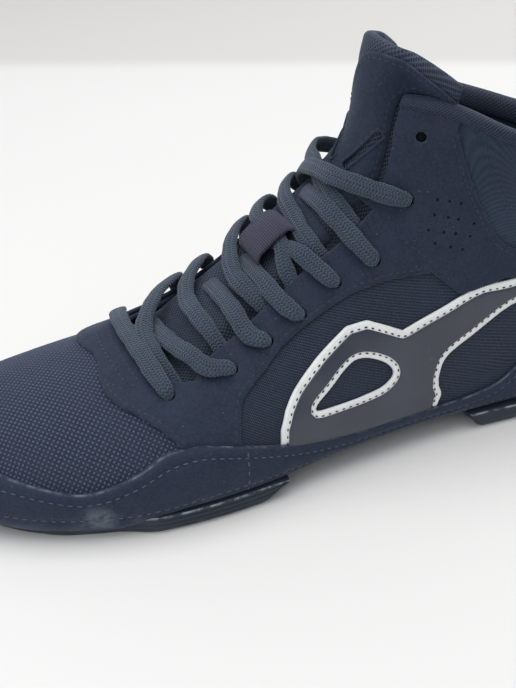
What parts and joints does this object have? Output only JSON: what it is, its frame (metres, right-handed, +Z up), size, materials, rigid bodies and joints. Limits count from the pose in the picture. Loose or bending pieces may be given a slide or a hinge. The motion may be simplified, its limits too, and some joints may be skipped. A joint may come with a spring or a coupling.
{
  "type": "wrestling shoe",
  "caption": "High-cut left wrestling shoe, laced, with a split outsole, wrapped toe and sides, thin padded tongue and open collar",
  "frame": {"origin": "the middle of the flat spot under the heel, on the floor", "axes": "+X from heel to toe, +Y to the outer side of the left foot, +Z up"},
  "size_m": [0.2872, 0.101, 0.1511],
  "materials": {
    "mesh": "knit mesh, dark navy",
    "suede": "short-napped synthetic suede, slate navy",
    "saddle": "smooth coated synthetic, dark navy",
    "outsole": "matt grey-navy rubber",
    "foam": "thin foam board",
    "lining": "knit lining, dark navy",
    "loop": "ribbed tape, purple navy",
    "lace": "flat braided lace, slate blue"
  },
  "bodies": {
    "root": {"upper": "mesh", "rand": "suede", "midsole": "foam", "insole": "lining", "outsole_forefoot": "outsole", "outsole_heel": "outsole", "eyestay": "suede", "ankle_panel_lateral": "suede", "ankle_panel_medial": "suede", "saddle_lateral": "saddle", "saddle_medial": "saddle", "heel_counter": "suede", "collar_binding": "suede", "tongue": "lining", "tongue_patch": "suede", "lace_loop": "loop", "lace_bar_1": "lace", "lace_cross_2": "lace", "lace_cross_3": "lace", "lace_cross_4": "lace", "lace_cross_5": "lace", "lace_cross_6": "lace", "lace_cross_7": "lace"}
  },
  "joints": []
}
